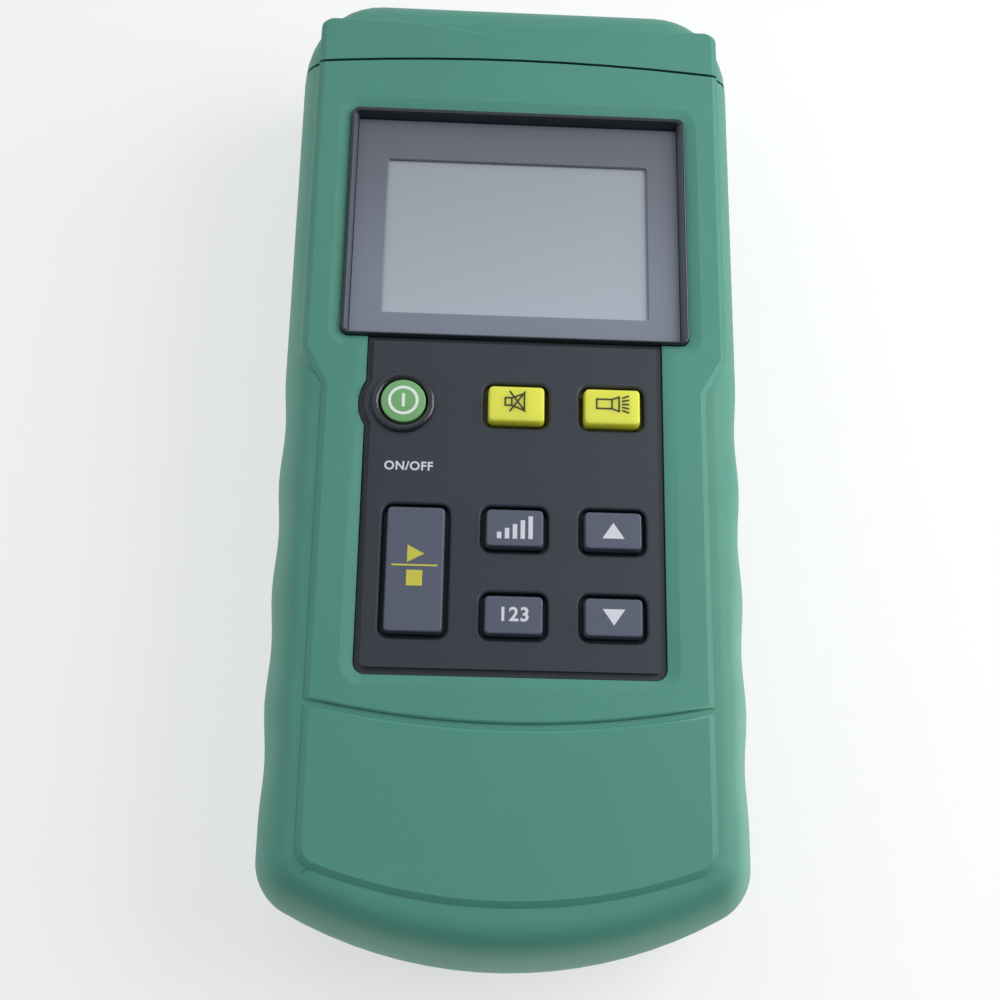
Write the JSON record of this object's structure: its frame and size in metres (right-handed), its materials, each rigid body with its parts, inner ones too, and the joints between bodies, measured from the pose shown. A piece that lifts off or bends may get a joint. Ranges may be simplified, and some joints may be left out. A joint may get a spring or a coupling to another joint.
{
  "type": "cable locator transmitter",
  "caption": "Hand-held cable locator transmitter: two-shell grip case with end cap, framed LCD, sprung keypad, end sockets, lamp and rear battery cover.",
  "frame": {"origin": "middle of the case on the back plane, lying on its back", "axes": "+X across the case to the right, +Y along the case to the socket end, +Z out of the front face"},
  "size_m": [0.0882, 0.19, 0.0413],
  "materials": {
    "case_green": "fine moulded texture",
    "frame_black": "smooth satin black",
    "panel_dark": "matt dark blue-grey",
    "surround_grey": "satin grey",
    "window_clear": "clear polished",
    "lcd_grey": "silvery grey display glass",
    "white_plastic": "white moulding",
    "strip_rubber": "layered contact rubber",
    "mat_rubber": "grey silicone",
    "key_green": "smooth green",
    "key_yellow": "smooth yellow",
    "key_grey": "smooth slate grey",
    "board_green": "solder mask",
    "contact_gold": "gold plated",
    "screw_steel": "zinc plated",
    "chip_black": "moulded black",
    "core_ferrite": "ferrite",
    "capacitor_sleeve": "shrink sleeve",
    "block_black": "moulded black",
    "socket_brass": "turned brass",
    "socket_red": "red moulding",
    "socket_black": "black moulding",
    "lamp_diode": "clear resin",
    "reflector_chrome": "bright plated",
    "lens_clear": "clear polished",
    "battery_case": "printed steel can",
    "lead_red": "red insulation",
    "lead_black": "black insulation"
  },
  "bodies": {
    "case": {"front_shell": "case_green", "rear_shell": "case_green", "top_cap": "case_green", "display_frame": "frame_black", "keypad_panel": "panel_dark", "display_surround": "surround_grey", "display_window": "window_clear", "lcd_glass": "lcd_grey", "lcd_frame": "white_plastic", "light_guide": "white_plastic", "contact_strips": "strip_rubber", "keypad_mat": "mat_rubber", "dome_power": "mat_rubber", "dome_mute": "mat_rubber", "dome_lamp": "mat_rubber", "dome_start": "mat_rubber", "dome_level": "mat_rubber", "dome_up": "mat_rubber", "dome_code": "mat_rubber", "dome_down": "mat_rubber", "main_board": "board_green", "contact_pads": "contact_gold", "board_screws": "screw_steel", "case_screws": "screw_steel", "controller_chip": "chip_black", "buzzer": "chip_black", "output_transformer": "core_ferrite", "capacitors": "capacitor_sleeve", "terminal_block": "block_black", "battery_snap": "block_black", "signal_sleeve": "socket_brass", "earth_sleeve": "socket_brass", "cover_insert": "socket_brass", "signal_collar": "socket_red", "earth_collar": "socket_black", "lamp_led": "lamp_diode", "lamp_reflector": "reflector_chrome", "lamp_lens": "lens_clear", "battery": "battery_case", "red_lead": "lead_red", "black_lead": "lead_black"},
    "key_power": {"key_power": "key_green"},
    "key_mute": {"key_mute": "key_yellow"},
    "key_lamp": {"key_lamp": "key_yellow"},
    "key_start": {"key_start": "key_grey"},
    "key_level": {"key_level": "key_grey"},
    "key_up": {"key_up": "key_grey"},
    "key_code": {"key_code": "key_grey"},
    "key_down": {"key_down": "key_grey"},
    "battery_cover": {"battery_cover": "case_green"},
    "cover_screw": {"cover_screw": "screw_steel"}
  },
  "joints": [
    {"name": "power_press", "type": "slide", "parent": "case", "child": "key_power", "axis": [0, 0, -1], "range_m": [0, 0.001], "stiffness_N_per_m": 1500, "deforming": ["dome_power"]},
    {"name": "mute_press", "type": "slide", "parent": "case", "child": "key_mute", "axis": [0, 0, -1], "range_m": [0, 0.001], "stiffness_N_per_m": 1500, "deforming": ["dome_mute"]},
    {"name": "lamp_press", "type": "slide", "parent": "case", "child": "key_lamp", "axis": [0, 0, -1], "range_m": [0, 0.001], "stiffness_N_per_m": 1500, "deforming": ["dome_lamp"]},
    {"name": "start_press", "type": "slide", "parent": "case", "child": "key_start", "axis": [0, 0, -1], "range_m": [0, 0.001], "stiffness_N_per_m": 1500, "deforming": ["dome_start"]},
    {"name": "level_press", "type": "slide", "parent": "case", "child": "key_level", "axis": [0, 0, -1], "range_m": [0, 0.001], "stiffness_N_per_m": 1500, "deforming": ["dome_level"]},
    {"name": "up_press", "type": "slide", "parent": "case", "child": "key_up", "axis": [0, 0, -1], "range_m": [0, 0.001], "stiffness_N_per_m": 1500, "deforming": ["dome_up"]},
    {"name": "code_press", "type": "slide", "parent": "case", "child": "key_code", "axis": [0, 0, -1], "range_m": [0, 0.001], "stiffness_N_per_m": 1500, "deforming": ["dome_code"]},
    {"name": "down_press", "type": "slide", "parent": "case", "child": "key_down", "axis": [0, 0, -1], "range_m": [0, 0.001], "stiffness_N_per_m": 1500, "deforming": ["dome_down"]},
    {"name": "battery_cover_swing", "type": "hinge", "parent": "case", "child": "battery_cover", "pos_m": [0, -0.01, 0.0003], "axis": [1, 0, 0], "range_deg": [0, 60]},
    {"name": "cover_screw_turn", "type": "hinge", "parent": "battery_cover", "child": "cover_screw", "pos_m": [0, -0.07555, 0.003], "axis": [0, 0, 1], "continuous": true}
  ]
}
